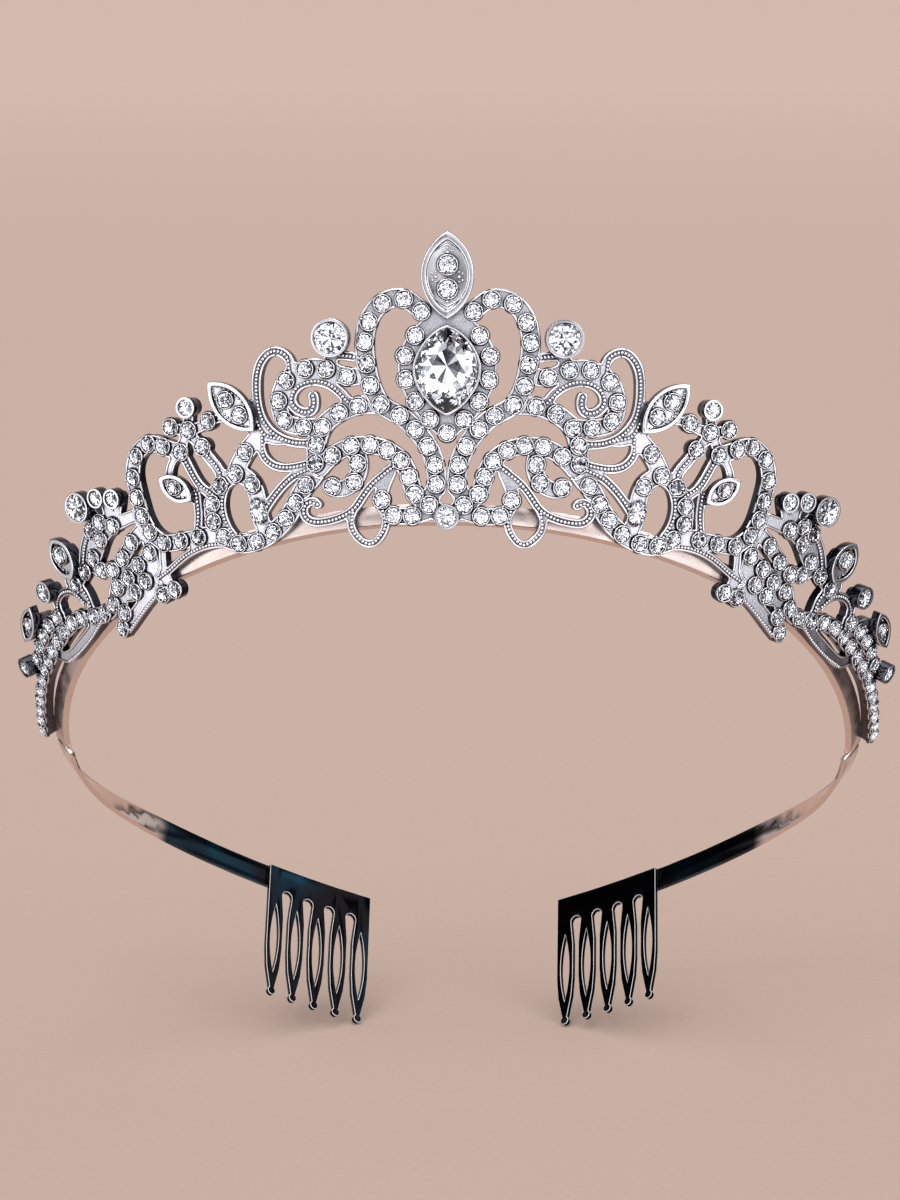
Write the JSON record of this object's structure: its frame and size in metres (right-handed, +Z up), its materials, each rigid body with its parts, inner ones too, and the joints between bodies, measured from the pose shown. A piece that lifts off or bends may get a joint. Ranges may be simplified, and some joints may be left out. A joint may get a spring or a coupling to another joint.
{
  "type": "bridal tiara",
  "caption": "Curved crown-shaped hair ornament: pierced silver filigree set with clear crystals on a sprung steel band ending in two side combs.",
  "frame": {"origin": "front centre of the band's centre line, where the band rests on the crown of the head", "axes": "+Z up as worn, -Y forward, +X toward the wearer's left; the band's plane is tipped 45 degrees, front high"},
  "size_m": [0.1562, 0.0988, 0.1582],
  "materials": {
    "cast_silver": "bright rhodium-plated casting, milgrain and rope texture",
    "bright_setting": "bright plated stone settings",
    "steel_strip": "plated spring steel strip",
    "dark_chrome": "smooth plated steel comb with dark reflections",
    "crystal": "clear foil-backed crystal"
  },
  "bodies": {
    "crown": {"headband_front": "steel_strip", "centre_casting": "cast_silver", "centre_stones": "crystal", "halo_stones": "crystal", "finial_setting": "bright_setting", "finial_stones": "crystal", "drop_setting": "bright_setting", "drop_crystal": "crystal", "base_cup": "bright_setting", "base_stone": "crystal", "scroll_casting_left": "cast_silver", "flower_casting_left": "cast_silver", "end_casting_left": "cast_silver", "scroll_stones_left": "crystal", "flower_stones_left": "crystal", "end_stones_left": "crystal", "large_cup_left": "bright_setting", "large_stone_left": "crystal", "bud_cup_left": "bright_setting", "bud_stone_left": "crystal", "end_cups_left": "bright_setting", "end_cup_stones_left": "crystal", "shoulder_leaf_left": "bright_setting", "shoulder_leaf_stones_left": "crystal", "arch_leaf_left": "bright_setting", "arch_leaf_stones_left": "crystal", "end_leaf_left": "bright_setting", "end_leaf_stones_left": "crystal", "tip_leaf_left": "bright_setting", "tip_leaf_stones_left": "crystal", "side_drop_left": "crystal", "scroll_casting_right": "cast_silver", "flower_casting_right": "cast_silver", "end_casting_right": "cast_silver", "scroll_stones_right": "crystal", "flower_stones_right": "crystal", "end_stones_right": "crystal", "large_cup_right": "bright_setting", "large_stone_right": "crystal", "bud_cup_right": "bright_setting", "bud_stone_right": "crystal", "end_cups_right": "bright_setting", "end_cup_stones_right": "crystal", "shoulder_leaf_right": "bright_setting", "shoulder_leaf_stones_right": "crystal", "arch_leaf_right": "bright_setting", "arch_leaf_stones_right": "crystal", "end_leaf_right": "bright_setting", "end_leaf_stones_right": "crystal", "tip_leaf_right": "bright_setting", "tip_leaf_stones_right": "crystal", "side_drop_right": "crystal"},
    "left_tail": {"band_tail_left": "steel_strip", "comb_left": "dark_chrome"},
    "right_tail": {"band_tail_right": "steel_strip", "comb_right": "dark_chrome"}
  },
  "joints": [
    {"name": "left_band_flex", "type": "hinge", "parent": "crown", "child": "left_tail", "pos_m": [0.07098, 0.05152, -0.05152], "axis": [0.6016, 0.5759, 0.5536], "range_deg": [-9, 4], "stiffness_Nm_per_rad": 0.09},
    {"name": "right_band_flex", "type": "hinge", "parent": "crown", "child": "right_tail", "pos_m": [-0.07098, 0.05152, -0.05152], "axis": [-0.6016, 0.5759, 0.5536], "range_deg": [-4, 9], "stiffness_Nm_per_rad": 0.09}
  ]
}
